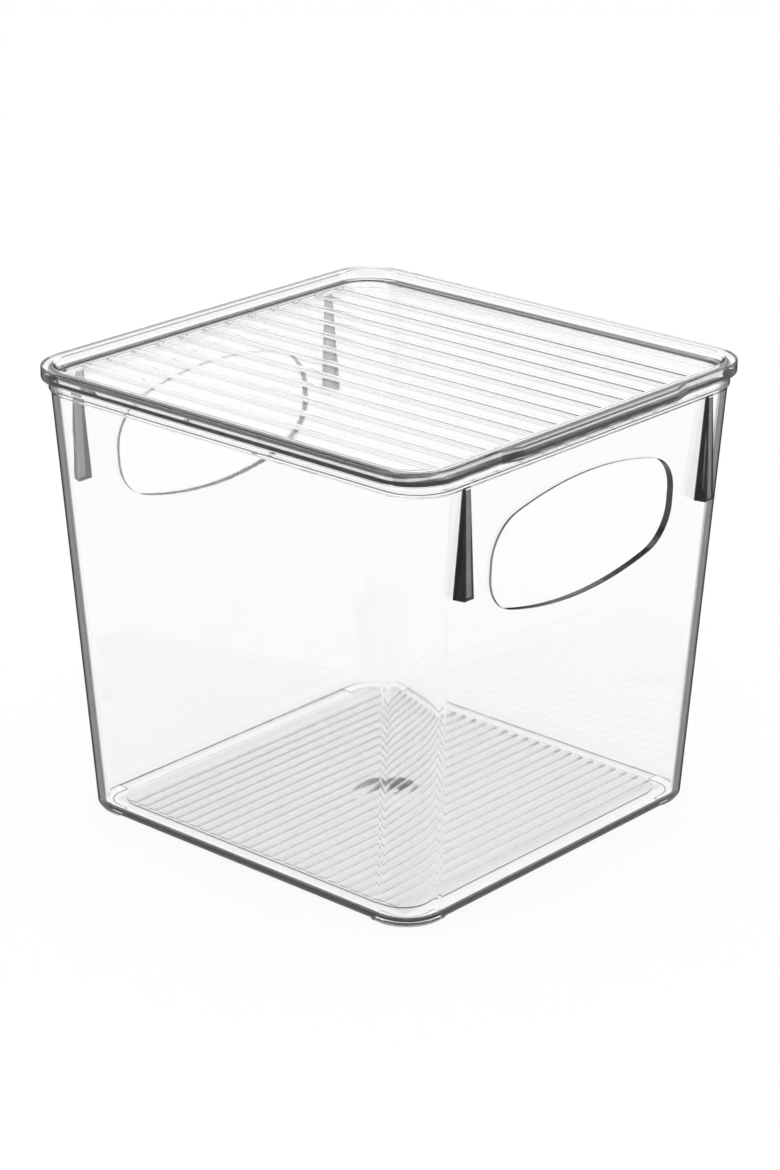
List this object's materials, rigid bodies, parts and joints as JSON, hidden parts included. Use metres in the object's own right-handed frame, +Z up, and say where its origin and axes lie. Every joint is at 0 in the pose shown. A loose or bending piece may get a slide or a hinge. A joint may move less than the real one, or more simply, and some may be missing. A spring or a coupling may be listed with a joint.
{
  "type": "storage bin with lid",
  "caption": "Clear plastic square storage bin with drafted walls, a hand hole in two opposite walls, a reeded floor and a lift-off ribbed lid with a pull tab.",
  "frame": {"origin": "under the middle of the tub, on the plane that its feet stand on; the lid's pull tab puts the box's own centre 1 mm further along +X", "axes": "+Z up, out of the mouth; +X towards the wall with a hand hole that is under the lid's pull tab; +Y along the reeds of the floor"},
  "size_m": [0.16, 0.153, 0.1428],
  "materials": {
    "clear_tub": "clear, glossy moulded plastic",
    "clear_lid": "clear, glossy moulded plastic"
  },
  "bodies": {
    "bin": {"tub": "clear_tub"},
    "lid": {"lid": "clear_lid"}
  },
  "joints": [
    {"name": "lid_lift", "type": "slide", "parent": "bin", "child": "lid", "axis": [0, 0, 1], "range_m": [0, 0.06]}
  ]
}
